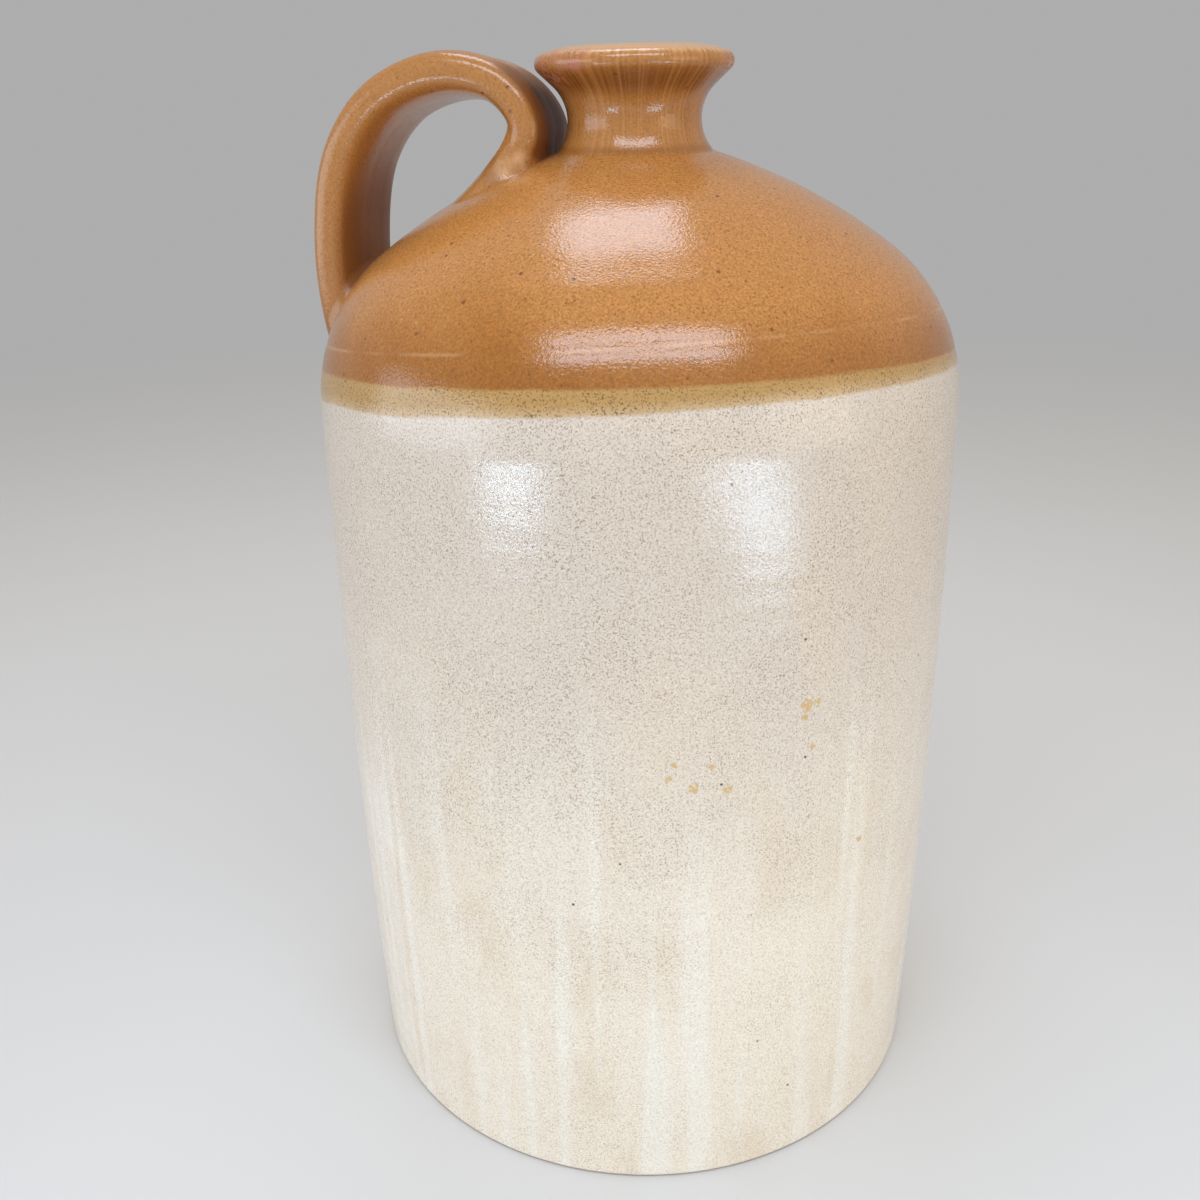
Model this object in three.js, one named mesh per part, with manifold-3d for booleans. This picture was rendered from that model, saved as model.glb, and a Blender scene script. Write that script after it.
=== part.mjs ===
// A two-gallon stoneware demijohn: a thrown cylindrical body, a domed shoulder luted onto it,
// a collar neck with a flared lip, a strap handle and a tapered cork bung.
// Millimetres, +Z up. The origin is the middle of the base, and the handle stands on the -X side.

import * as THREE from 'three';
import { mergeVertices } from 'three/addons/utils/BufferGeometryUtils.js';
import Module from 'manifold-3d';

// Body
const BASE_RADIUS = 110.4;
const BELLY_RADIUS = 113;
const RIM_RADIUS = 111.9; // outside of the wall where the shoulder sits on it
const BODY_HEIGHT = 263; // up to the seam under the shoulder
const WALL = 9.5;
const FLOOR = 11;
const FOOT_ROUND = 1.8; // rounded bottom edge
const FLOOR_ROUND = 8; // inside corner between floor and wall

// Shoulder
const CORNER_RADIUS = 61.4; // tight bend above the wall
const CORNER_SWEEP = 53; // degrees that it turns through
const DOME_RADIUS = 195; // slow bend from there up to the neck

// Neck and lip
const NECK_FOOT_RADIUS = 26.4;
const NECK_FOOT_BEND = 15.5; // hollow curve from the foot up to the throat
const THROAT_RADIUS = 22.6;
const FLARE_BEND = 14; // hollow curve from the throat out to the lip
const FLARE_SWEEP = 48; // degrees that it turns through, before it runs straight
const LIP_RADIUS = 33;
const LIP_ROUND = 3.4; // rounding of the outer edge
const CREST_RADIUS = 21.5; // ring where the domed top of the lip is highest
const CREST_RISE = 1.7; // crest above the rounding
const BORE_RADIUS = 15; // at the foot of the neck
const MOUTH_RADIUS = 16.4; // at the crest's height
const MOUTH_ROUND = 2.6; // drop of the rounded edge from the crest into the mouth

// Cork bung
const CORK_LENGTH = 26;
const CORK_RECESS = 1.5; // top of the bung below the crest
const CORK_GAP = 0.3; // clearance in the tapered mouth
const CORK_CHAMFER = 1.2;

// Strap handle
const HANDLE_WIDTH = 46;
const HANDLE_TOP_THICKNESS = 12.8;
const HANDLE_FOOT_THICKNESS = 16.5;
const HANDLE_SECTION_POWER = 0.6; // 1 is an oval, smaller is squarer
const HANDLE_ROOT_SPREAD = 8; // extra width where the ends are pressed onto the shoulder
const HANDLE_ROOT_POWER = 10; // how suddenly the ends spread
const HANDLE_NECK_GAP = 4.3; // between the throat and the strap
const HANDLE_RISE = 26.2; // crown's centre line above the neck's foot
const HANDLE_INSET = 6.4; // outermost centre line inside the body's rim radius
const HANDLE_LEAN = 6; // how far the strap leans from its top root towards the neck
const HANDLE_ROOT_DEPTH = 8; // how far the centre line runs on below the shoulder's surface
const LUTE_GAP = 0.3; // between the strap's ends and the shoulder

// Facets
const TURN_SIDES = 48;
const WALL_STEPS = 7;
const CORNER_STEPS = 8;
const DOME_STEPS = 5;
const BEND_STEPS = 6;
const ROUND_STEPS = 4;
const HANDLE_SIDES = 16;
const HANDLE_STEPS = 36;

const wasm = await Module();
wasm.setup();

const radians = THREE.MathUtils.degToRad;
const corner = radians(CORNER_SWEEP);

// Points of a profile: x is the distance from the axis and y the height
const point = (radius, height) => new THREE.Vector2(radius, height);

function arc(centre, radius, from, to, steps) {
  return Array.from({ length: steps + 1 }, (_, i) => {
    const angle = from + ((to - from) * i) / steps;
    return point(centre.x + radius * Math.cos(angle), centre.y + radius * Math.sin(angle));
  });
}

// Keeps only positions, shares the vertices and drops the triangles that shrink to nothing on the axis.
function closedGeometry(geometry) {
  geometry.deleteAttribute('normal');
  geometry.deleteAttribute('uv');
  const merged = mergeVertices(geometry, 1e-4);
  const index = merged.getIndex().array;
  const kept = [];
  for (let i = 0; i < index.length; i += 3) {
    const [a, b, c] = index.slice(i, i + 3);
    if (a !== b && b !== c && c !== a) kept.push(a, b, c);
  }
  merged.setIndex(kept);
  merged.computeVertexNormals();
  return merged;
}

// Spins a profile about the axis. The profile runs anticlockwise: out along the bottom, up and back in.
function turned(profile) {
  const lathe = new THREE.LatheGeometry(profile, TURN_SIDES);
  return closedGeometry(lathe.rotateX(Math.PI / 2));
}

function toManifold(geometry) {
  const vertProperties = Float32Array.from(geometry.getAttribute('position').array);
  const triVerts = Uint32Array.from(geometry.getIndex().array);
  return new wasm.Manifold(new wasm.Mesh({ numProp: 3, vertProperties, triVerts }));
}

function fromManifold(manifold) {
  const { vertProperties, triVerts } = manifold.getMesh();
  const geometry = new THREE.BufferGeometry();
  geometry.setAttribute('position', new THREE.BufferAttribute(Float32Array.from(vertProperties), 3));
  geometry.setIndex(Array.from(triVerts));
  geometry.computeVertexNormals();
  return geometry;
}

// Shoulder surface: two tangent arcs, moved in or out by an offset from the outside of the clay
const cornerCentre = point(RIM_RADIUS - CORNER_RADIUS, BODY_HEIGHT);
const domeCentre = point(
  cornerCentre.x - (DOME_RADIUS - CORNER_RADIUS) * Math.cos(corner),
  cornerCentre.y - (DOME_RADIUS - CORNER_RADIUS) * Math.sin(corner),
);

function domeAngle(radius, offset) {
  return Math.acos((radius - domeCentre.x) / (DOME_RADIUS + offset));
}

function domeHeight(radius, offset = 0) {
  return domeCentre.y + (DOME_RADIUS + offset) * Math.sin(domeAngle(radius, offset));
}

function shoulderArcs(offset, endRadius) {
  const bend = arc(cornerCentre, CORNER_RADIUS + offset, 0, corner, CORNER_STEPS);
  const dome = arc(domeCentre, DOME_RADIUS + offset, corner, domeAngle(endRadius, offset), DOME_STEPS);
  return [...bend, ...dome.slice(1)];
}

// Heights up the neck
const seat = domeHeight(NECK_FOOT_RADIUS);
const footSweep = Math.acos(1 - (NECK_FOOT_RADIUS - THROAT_RADIUS) / NECK_FOOT_BEND);
const throat = seat + NECK_FOOT_BEND * Math.sin(footSweep);
const flare = radians(FLARE_SWEEP);
const flareEnd = point(
  THROAT_RADIUS + FLARE_BEND * (1 - Math.cos(flare)),
  throat + FLARE_BEND * Math.sin(flare),
);
const lipBottomRadius = LIP_RADIUS - LIP_ROUND * (1 - Math.cos(flare));
const lipBottom = flareEnd.y + (lipBottomRadius - flareEnd.x) / Math.tan(flare);
const lipCentre = point(LIP_RADIUS - LIP_ROUND, lipBottom + LIP_ROUND * Math.sin(flare));
const lipTop = lipCentre.y + LIP_ROUND;
const crest = lipTop + CREST_RISE;

function boreRadius(height) {
  return BORE_RADIUS + ((MOUTH_RADIUS - BORE_RADIUS) * (height - seat)) / (crest - seat);
}

function barrel(inset, bottom) {
  const control = 2 * BELLY_RADIUS - (BASE_RADIUS + RIM_RADIUS) / 2;
  const side = new THREE.QuadraticBezierCurve(
    point(BASE_RADIUS - inset, bottom),
    point(control - inset, (bottom + BODY_HEIGHT) / 2),
    point(RIM_RADIUS - inset, BODY_HEIGHT),
  );
  return side.getPoints(WALL_STEPS);
}

function bodyGeometry() {
  const footCentre = point(BASE_RADIUS - FOOT_ROUND, FOOT_ROUND);
  const floorCentre = point(BASE_RADIUS - WALL - FLOOR_ROUND, FLOOR + FLOOR_ROUND);
  return turned([
    point(0, 0),
    ...arc(footCentre, FOOT_ROUND, -Math.PI / 2, 0, ROUND_STEPS),
    ...barrel(0, FOOT_ROUND).slice(1),
    ...barrel(WALL, FLOOR + FLOOR_ROUND).reverse(),
    ...arc(floorCentre, FLOOR_ROUND, 0, -Math.PI / 2, ROUND_STEPS).slice(1),
    point(0, FLOOR),
  ]);
}

function shoulderGeometry() {
  const outside = shoulderArcs(0, NECK_FOOT_RADIUS);
  const inside = shoulderArcs(-WALL, BORE_RADIUS);
  return turned([...outside, point(BORE_RADIUS, seat), ...inside.reverse(), outside[0]]);
}

function neckGeometry() {
  const footCentre = point(THROAT_RADIUS + NECK_FOOT_BEND, throat);
  const flareCentre = point(THROAT_RADIUS + FLARE_BEND, throat);
  const top = new THREE.QuadraticBezierCurve(
    point(lipCentre.x, lipTop),
    point((lipCentre.x + CREST_RADIUS) / 2, crest),
    point(CREST_RADIUS, crest),
  );
  const mouthBottom = crest - MOUTH_ROUND;
  const mouth = new THREE.QuadraticBezierCurve(
    point(CREST_RADIUS, crest),
    point(boreRadius(mouthBottom), crest),
    point(boreRadius(mouthBottom), mouthBottom),
  );
  const start = point(BORE_RADIUS, seat);
  return turned([
    start,
    ...arc(footCentre, NECK_FOOT_BEND, Math.PI + footSweep, Math.PI, BEND_STEPS),
    ...arc(flareCentre, FLARE_BEND, Math.PI, Math.PI - flare, BEND_STEPS).slice(1),
    ...arc(lipCentre, LIP_ROUND, -flare, Math.PI / 2, ROUND_STEPS),
    ...top.getPoints(ROUND_STEPS).slice(1),
    ...mouth.getPoints(ROUND_STEPS).slice(1),
    start,
  ]);
}

function corkGeometry() {
  const top = crest - CORK_RECESS;
  const bottom = top - CORK_LENGTH;
  const side = (height) => boreRadius(height) - CORK_GAP;
  return turned([
    point(0, bottom),
    point(side(bottom) - CORK_CHAMFER, bottom),
    point(side(bottom + CORK_CHAMFER), bottom + CORK_CHAMFER),
    point(side(top - MOUTH_ROUND), top - MOUTH_ROUND),
    point(side(top - MOUTH_ROUND) - CORK_CHAMFER / 2, top),
    point(0, top),
  ]);
}

// Centre line of the strap, out of the shoulder beside the neck, over and down onto the shoulder's corner.
// Its loop is given as shares of the span from neck to rim and of the drop from crown to body.
function handleCurve() {
  const inner = THROAT_RADIUS + HANDLE_NECK_GAP + HANDLE_TOP_THICKNESS / 2;
  const outer = RIM_RADIUS - HANDLE_INSET;
  const crown = seat + HANDLE_RISE;
  const span = outer - inner;
  const drop = crown - BODY_HEIGHT;
  const topRoot = inner + HANDLE_LEAN;
  const loop = [
    [0, 0.176],
    [0.13, 0.05],
    [0.4, 0],
    [0.71, 0.076],
    [0.912, 0.247],
    [1, 0.522],
    [0.982, 0.776],
  ];
  const route = [
    [topRoot + HANDLE_ROOT_DEPTH, domeHeight(topRoot + HANDLE_ROOT_DEPTH) - HANDLE_ROOT_DEPTH],
    [topRoot, domeHeight(topRoot) - LUTE_GAP],
    ...loop.map(([across, down]) => [inner + across * span, crown - down * drop]),
    [outer - HANDLE_ROOT_DEPTH, BODY_HEIGHT + LUTE_GAP],
  ];
  return new THREE.CatmullRomCurve3(route.map(([reach, height]) => new THREE.Vector3(-reach, 0, height)));
}

// One ring of the strap: a squared oval across the centre line
function handleRing(curve, along) {
  const centre = curve.getPointAt(along);
  const tangent = curve.getTangentAt(along);
  const across = new THREE.Vector3(0, 1, 0);
  const out = new THREE.Vector3().crossVectors(tangent, across);
  const thickness = THREE.MathUtils.lerp(HANDLE_TOP_THICKNESS, HANDLE_FOOT_THICKNESS, along);
  const width = HANDLE_WIDTH + HANDLE_ROOT_SPREAD * Math.abs(2 * along - 1) ** HANDLE_ROOT_POWER;
  const squared = (value) => Math.sign(value) * Math.abs(value) ** HANDLE_SECTION_POWER;
  return Array.from({ length: HANDLE_SIDES }, (_, i) => {
    const angle = (2 * Math.PI * (i + 0.5)) / HANDLE_SIDES;
    return centre
      .clone()
      .addScaledVector(across, (width / 2) * squared(Math.cos(angle)))
      .addScaledVector(out, (thickness / 2) * squared(Math.sin(angle)));
  });
}

// Skins a row of rings and closes both ends with a fan.
function lofted(rings) {
  const sides = rings[0].length;
  const last = rings.length - 1;
  const positions = rings.flat().flatMap((p) => p.toArray());
  const index = [];
  for (let i = 0; i < last; i += 1) {
    for (let j = 0; j < sides; j += 1) {
      const a = i * sides + j;
      const b = i * sides + ((j + 1) % sides);
      index.push(a, b, b + sides, a, b + sides, a + sides);
    }
  }
  for (let j = 1; j < sides - 1; j += 1) {
    index.push(0, j + 1, j);
    index.push(last * sides, last * sides + j, last * sides + j + 1);
  }
  const geometry = new THREE.BufferGeometry();
  geometry.setAttribute('position', new THREE.Float32BufferAttribute(positions, 3));
  geometry.setIndex(index);
  return geometry;
}

// The strap's ends are cut to the shoulder's surface, where they are luted on.
function handleGeometry() {
  const curve = handleCurve();
  const rings = Array.from({ length: HANDLE_STEPS + 1 }, (_, i) => handleRing(curve, i / HANDLE_STEPS));
  const surface = shoulderArcs(LUTE_GAP, NECK_FOOT_RADIUS);
  const lowest = point(surface[0].x, 0);
  const core = turned([point(0, 0), lowest, ...surface, point(0, surface.at(-1).y)]);
  return fromManifold(toManifold(lofted(rings)).subtract(toManifold(core)));
}

const creamGlaze = new THREE.MeshStandardMaterial({ color: '#d8cbb2', roughness: 0.25, metalness: 0 });
const tanGlaze = new THREE.MeshStandardMaterial({ color: '#b07a3e', roughness: 0.22, metalness: 0 });
const cork = new THREE.MeshStandardMaterial({ color: '#b98e5f', roughness: 0.85, metalness: 0 });

const demijohn = new THREE.Group();

function addPiece(name, geometry, material) {
  const mesh = new THREE.Mesh(geometry, material);
  mesh.name = name;
  demijohn.add(mesh);
}

addPiece('body', bodyGeometry(), creamGlaze);
addPiece('shoulder', shoulderGeometry(), tanGlaze);
addPiece('neck', neckGeometry(), tanGlaze);
addPiece('handle', handleGeometry(), tanGlaze);
addPiece('cork_bung', corkGeometry(), cork);

export default demijohn;
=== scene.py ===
"""A two-tone stoneware demijohn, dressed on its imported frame.

Sizes are in millimetres until a mesh is made.
"""

import math
from functools import reduce

import bmesh
import bpy
import numpy as np
from mathutils import Matrix, Vector, noise


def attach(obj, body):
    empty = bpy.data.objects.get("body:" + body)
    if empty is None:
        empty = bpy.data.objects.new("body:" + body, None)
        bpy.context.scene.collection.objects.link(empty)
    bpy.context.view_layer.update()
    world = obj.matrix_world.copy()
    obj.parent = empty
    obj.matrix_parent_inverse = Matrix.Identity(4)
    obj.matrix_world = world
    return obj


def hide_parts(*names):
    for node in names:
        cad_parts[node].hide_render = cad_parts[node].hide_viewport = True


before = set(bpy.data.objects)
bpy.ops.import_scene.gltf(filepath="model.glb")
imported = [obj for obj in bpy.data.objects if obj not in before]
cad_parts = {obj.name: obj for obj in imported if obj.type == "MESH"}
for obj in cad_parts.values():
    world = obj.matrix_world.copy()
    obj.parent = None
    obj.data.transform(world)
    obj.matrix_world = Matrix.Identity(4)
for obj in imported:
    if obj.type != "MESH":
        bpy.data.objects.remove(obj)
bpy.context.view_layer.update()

MM = 0.001

# Body
BASE_RADIUS = 110.4
BELLY_RADIUS = 113.0
RIM_RADIUS = 111.9
BODY_HEIGHT = 263.0
WALL = 9.5
FLOOR = 11.0
FOOT_ROUND = 1.8
FLOOR_ROUND = 8.0
BASE_HUB = 12.0  # first ring of points round the middle of the base

# Shoulder
CORNER_RADIUS = 61.4
CORNER_SWEEP = math.radians(53)
DOME_RADIUS = 195.0

# Neck and lip
NECK_FOOT_RADIUS = 26.4
NECK_FOOT_BEND = 15.5
THROAT_RADIUS = 22.6
FLARE_BEND = 14.0
FLARE_SWEEP = math.radians(48)
LIP_RADIUS = 33.0
LIP_ROUND = 3.4
CREST_RADIUS = 21.5
CREST_RISE = 1.7
BORE_RADIUS = 15.0
MOUTH_RADIUS = 16.4
MOUTH_ROUND = 2.6
BORE_EASE = 0.05  # how far the bore's foot stands off its edge, outwards and upwards
BORE_END_RISE = 0.5

# Cork bung
CORK_LENGTH = 26.0
CORK_RECESS = 1.5
CORK_GAP = 0.3
CORK_CHAMFER = 1.2
CORK_HUB = 2.0  # first ring of points round the middle of its ends
CORK_PIT_SIZE = 1.5
CORK_PIT_START = 0.15
CORK_END_PIT = 0.55
CORK_SIDE_PIT = 0.5

# Strap handle
HANDLE_WIDTH = 46.0
HANDLE_TOP_THICKNESS = 12.8
HANDLE_FOOT_THICKNESS = 16.5
HANDLE_SECTION_POWER = 0.6
HANDLE_ROOT_SPREAD = 8.0
HANDLE_ROOT_POWER = 10
HANDLE_NECK_GAP = 4.3
HANDLE_RISE = 26.2
HANDLE_INSET = 6.4
HANDLE_LEAN = 6.0
HANDLE_ROOT_DEPTH = 8.0
LUTE_GAP = 0.3
HANDLE_LOOP = (
    (0, 0.176),
    (0.13, 0.05),
    (0.4, 0),
    (0.71, 0.076),
    (0.912, 0.247),
    (1, 0.522),
    (0.982, 0.776),
)

# Hand-made unevenness of the clay
WOBBLE = 0.25  # slow out-of-round, always inwards
WOBBLE_PHASE = 0.7
WOBBLE_TWIST = 90.0  # height in which the oval turns by one radian
WOBBLE_LEAN = 140.0  # height in which the bulge turns by one radian
RING_DEPTH = 0.05  # spiral throwing marks
RING_PITCH = 9.0
RING_PATCH = 34.0  # height over which the marks come and go
RING_LINE_DEPTH = 0.16  # the one ring line on the shoulder
RING_LINE_WIDTH = 1.3
FOOT_FADE = 8.0  # heights and radii over which the marks fade out at the foot and at the neck
NECK_FADE = 14.0
NECK_OVAL = 0.10
NECK_LUMPS = 0.05
NECK_EVEN_FOOT = 6.0  # height over which the neck's unevenness starts
SURFACE_SLACK = 0.1  # how far from an arc a profile point may lie and still be on it
STRAP_RIDGES = 9  # lengthwise marks of the hand on the strap
STRAP_FINE_RIDGES = 17
STRAP_RIDGE_DEPTH = 0.28
STRAP_HOLLOW = 0.9  # shallow channel along the strap's outer face
STRAP_HOLLOW_SPREAD = 0.45  # as a share of half the strap's width
# Twist of the strap: how far its front edge lifts, its back edge drops and its underside swells,
# each with its place and its spread as shares of the strap's length
STRAP_LIFT = (1.6, 0.20, 0.10)
STRAP_DROP = (2.0, 0.36, 0.18)
STRAP_SWELL = (1.0, 0.33, 0.10)
# Smeared clay where the strap meets the shoulder: on the far side from the loop,
# at the strap's edges and under the loop
TOP_ROOT_HEIGHT = (4.0, 7.5, 16.5)
TOP_ROOT_REACH = (2.5, 6.0, 20.0)
LOW_ROOT_HEIGHT = (6.0, 3.5, 5.0)
LOW_ROOT_REACH = (4.0, 2.5, 4.0)
ROOT_DRAG = 0.5  # how far the smear at the edges is pulled towards the loop
ROOT_SINK = 0.7  # depth of the smear's rim under the shoulder's surface
ROOT_HEM = 1.2  # how far the smear goes on under the surface
ROOT_TOP_PULL = 0.45  # fullness of the smear's curve at its top and at its end
ROOT_END_PULL = 0.5

# Dip lines of the glazes: height on the axis, rise per mm of x and of y
DIP_LOW = (269.4, 0.0600, -0.0869)
DIP_HIGH = (276.5, 0.0383, -0.0897)
RING_LINE = (286.8, 0.0640, -0.0860)

# Camera, in the part's frame
CAMERA_REACH = 430.0
CAMERA_HEIGHT = 359.6
CAMERA_TURN = math.radians(12.5)
CAMERA_PITCH = math.radians(22.67)
CAMERA_YAW = math.radians(-2.025)
CAMERA_ROLL = math.radians(-1.33)
SENSOR = 36.0

# Fineness of the meshes
TURN_SIDES = 256
STRAP_SIDES = 80
STRAP_ROWS = 150
STRAP_FINE_ROWS = 1201  # rows of the strap before its ends are cut
ROOT_ROWS = 14
CURVE_STEPS = 200
SECTION_STEPS = 4001
TURNED_SHARP = 40  # degrees between faces that still shade smooth
STRAP_SHARP = 60
NEAR_AXIS = 1e-6


def arc(centre, radius, start, end, steps):
    angle = np.linspace(start, end, steps + 1)
    return np.stack([centre[0] + radius * np.cos(angle), centre[1] + radius * np.sin(angle)], -1)


def quadratic(a, b, c, steps):
    t = np.linspace(0, 1, steps + 1)[:, None]
    return (1 - t) ** 2 * np.array(a) + 2 * t * (1 - t) * np.array(b) + t ** 2 * np.array(c)


def line(a, b, steps):
    t = np.linspace(0, 1, steps + 1)[:, None]
    return (1 - t) * np.array(a) + t * np.array(b)


def joined(*runs):
    """One profile from runs of points, without the points that they share."""
    rows = [runs[0]]
    for run in runs[1:]:
        same = np.allclose(rows[-1][-1], run[0], atol=1e-6)
        rows.append(run[1:] if same else run)
    return np.concatenate(rows)


# Shoulder surface and the neck's heights, as in the solids
corner_centre = np.array([RIM_RADIUS - CORNER_RADIUS, BODY_HEIGHT])
dome_centre = corner_centre - (DOME_RADIUS - CORNER_RADIUS) * np.array(
    [math.cos(CORNER_SWEEP), math.sin(CORNER_SWEEP)]
)


def dome_angle(radius, offset=0.0):
    return math.acos((radius - dome_centre[0]) / (DOME_RADIUS + offset))


def dome_height(radius):
    return dome_centre[1] + DOME_RADIUS * math.sin(dome_angle(radius))


seat = dome_height(NECK_FOOT_RADIUS)
foot_sweep = math.acos(1 - (NECK_FOOT_RADIUS - THROAT_RADIUS) / NECK_FOOT_BEND)
throat = seat + NECK_FOOT_BEND * math.sin(foot_sweep)
flare_end = (
    THROAT_RADIUS + FLARE_BEND * (1 - math.cos(FLARE_SWEEP)),
    throat + FLARE_BEND * math.sin(FLARE_SWEEP),
)
lip_bottom_radius = LIP_RADIUS - LIP_ROUND * (1 - math.cos(FLARE_SWEEP))
lip_bottom = flare_end[1] + (lip_bottom_radius - flare_end[0]) / math.tan(FLARE_SWEEP)
lip_centre = (LIP_RADIUS - LIP_ROUND, lip_bottom + LIP_ROUND * math.sin(FLARE_SWEEP))
lip_top = lip_centre[1] + LIP_ROUND
crest = lip_top + CREST_RISE


def bore_radius(height):
    return BORE_RADIUS + (MOUTH_RADIUS - BORE_RADIUS) * (height - seat) / (crest - seat)


def shoulder_arcs(offset, end_radius, corner_steps, dome_steps):
    bend = arc(corner_centre, CORNER_RADIUS + offset, 0, CORNER_SWEEP, corner_steps)
    dome = arc(dome_centre, DOME_RADIUS + offset, CORNER_SWEEP, dome_angle(end_radius, offset), dome_steps)
    return joined(bend, dome)


def barrel(inset, bottom, steps):
    control = 2 * BELLY_RADIUS - (BASE_RADIUS + RIM_RADIUS) / 2
    return quadratic(
        (BASE_RADIUS - inset, bottom),
        (control - inset, (bottom + BODY_HEIGHT) / 2),
        (RIM_RADIUS - inset, BODY_HEIGHT),
        steps,
    )


# Meshes


def mesh_object(name, points, faces, sharp_degrees):
    mesh = bpy.data.meshes.new(name)
    mesh.from_pydata([tuple(p) for p in np.asarray(points) * MM], [], faces)
    form = bmesh.new()
    form.from_mesh(mesh)
    bmesh.ops.recalc_face_normals(form, faces=form.faces)
    form.to_mesh(mesh)
    form.free()
    mesh.shade_smooth()
    mesh.set_sharp_from_angle(angle=math.radians(sharp_degrees))
    made = bpy.data.objects.new(name, mesh)
    bpy.context.scene.collection.objects.link(made)
    return made


def turned(name, profile, shape):
    """Spins a profile about the axis. One that starts and ends off the axis is closed into a ring.

    shape(radius, height, angle) gives the radius and height of the finished surface there.
    """
    angles = np.linspace(0, 2 * math.pi, TURN_SIDES, endpoint=False)
    points, rows = [], []
    for radius, height in profile:
        first = len(points)
        if radius < NEAR_AXIS:
            points.append((0, 0, height))
            rows.append([first] * TURN_SIDES)
            continue
        for angle in angles:
            r, z = shape(radius, height, angle)
            points.append((r * math.cos(angle), r * math.sin(angle), z))
        rows.append(list(range(first, first + TURN_SIDES)))
    pairs = list(zip(rows, rows[1:]))
    if profile[0][0] > NEAR_AXIS:
        pairs.append((rows[-1], rows[0]))
    faces = []
    for low, high in pairs:
        for j in range(TURN_SIDES):
            k = (j + 1) % TURN_SIDES
            corners = low[j], low[k], high[k], high[j]
            faces.append(list(dict.fromkeys(corners)))
    return mesh_object(name, points, faces, TURNED_SHARP)


def plane_height(plane, x, y):
    return plane[0] + plane[1] * x + plane[2] * y


def thrown(radius, height, angle):
    """How far hand-made clay falls short of the profile: out of round, spiral marks and one ring line."""
    x, y = radius * math.cos(angle), radius * math.sin(angle)
    oval = math.sin(2 * angle + WOBBLE_PHASE + height / WOBBLE_TWIST)
    slow = 0.5 + 0.5 * oval * math.cos(angle - height / WOBBLE_LEAN)
    spiral = math.sin(2 * math.pi * height / RING_PITCH - angle)
    spiral *= 0.5 + 0.5 * noise.noise((height / RING_PATCH, 2.0, math.sin(angle) * 0.6))
    ring = math.exp(-(((height - plane_height(RING_LINE, x, y)) / RING_LINE_WIDTH) ** 2))
    return WOBBLE * slow + RING_DEPTH * (1 + spiral) + RING_LINE_DEPTH * ring


def body_shape(radius, height, angle):
    outside = radius > BASE_RADIUS - WALL / 2 and height > FOOT_ROUND / 2
    share = min(1.0, (height - FOOT_ROUND / 2) / FOOT_FADE) if outside else 0
    return radius - share * thrown(radius, height, angle), height


def shoulder_shape(radius, height, angle):
    offset = radius - corner_centre[0], height - corner_centre[1]
    on_corner = abs(math.hypot(*offset) - CORNER_RADIUS) < SURFACE_SLACK
    reach = radius - dome_centre[0], height - dome_centre[1]
    on_dome = abs(math.hypot(*reach) - DOME_RADIUS) < SURFACE_SLACK
    if not (on_corner or on_dome):
        return radius, height
    out = np.array(offset if on_corner else reach)
    out = out / np.linalg.norm(out)
    fade = min(1.0, max(0.0, (radius - NECK_FOOT_RADIUS) / NECK_FADE))
    depth = fade * thrown(radius, height, angle)
    return radius - depth * out[0], height - depth * out[1]


CHIP_ANGLE = math.radians(-4)
CHIP_HEIGHT = lip_centre[1] - 0.4
CHIP_WIDE = 6.0
CHIP_TALL = 2.4
CHIP_DEPTH = 0.9
CHIP_RAGGED = 0.35
CHIP_INNER = LIP_RADIUS - 5.0


def chip_at(radius, height, angle):
    """How deep a small chip bites into the lip's edge, from 0 to 1."""
    turn = (angle - CHIP_ANGLE + math.pi) % (2 * math.pi) - math.pi
    along = turn * LIP_RADIUS / CHIP_WIDE
    up = (height - CHIP_HEIGHT) / CHIP_TALL
    spread = math.hypot(along, up) + CHIP_RAGGED * noise.noise((turn * 30, height * 0.7, 4.0))
    bite = max(0.0, 1 - spread ** 2)
    return bite if radius > CHIP_INNER else 0.0


def neck_shape(radius, height, angle):
    if radius < THROAT_RADIUS - 2 and height < crest - MOUTH_ROUND:
        return radius, height
    above = min(1.0, max(0.0, (height - seat) / NECK_EVEN_FOOT))
    lump = noise.noise((math.cos(angle) * 1.6, math.sin(angle) * 1.6, height / 5))
    uneven = NECK_OVAL * (1 + math.sin(angle * 2 + 1.1)) * above
    uneven += NECK_LUMPS * (1 + lump) * above
    bite = chip_at(radius, height, angle)
    rough = 0.75 + 0.5 * noise.noise((angle * 40, height * 1.6, 9.0))
    return radius - uneven - CHIP_DEPTH * bite * rough, height


def make_body():
    foot_centre = (BASE_RADIUS - FOOT_ROUND, FOOT_ROUND)
    floor_centre = (BASE_RADIUS - WALL - FLOOR_ROUND, FLOOR + FLOOR_ROUND)
    inside = barrel(WALL, FLOOR + FLOOR_ROUND, 12)[::-1]
    profile = joined(
        np.array([(0, 0.0)]),
        line((BASE_HUB, 0), (BASE_RADIUS - FOOT_ROUND, 0), 8),
        arc(foot_centre, FOOT_ROUND, -math.pi / 2, 0, 8),
        barrel(0, FOOT_ROUND, 150),
        inside,
        arc(floor_centre, FLOOR_ROUND, 0, -math.pi / 2, 6),
        np.array([(0, FLOOR)]),
    )
    return turned("stoneware_body", profile, body_shape)


def make_shoulder():
    outside = shoulder_arcs(0, NECK_FOOT_RADIUS, 50, 70)
    inside = shoulder_arcs(-WALL, BORE_RADIUS, 10, 10)[::-1]
    rim = np.array([(BORE_RADIUS, seat)])
    return turned("stoneware_shoulder", joined(outside, rim, inside), shoulder_shape)


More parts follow.
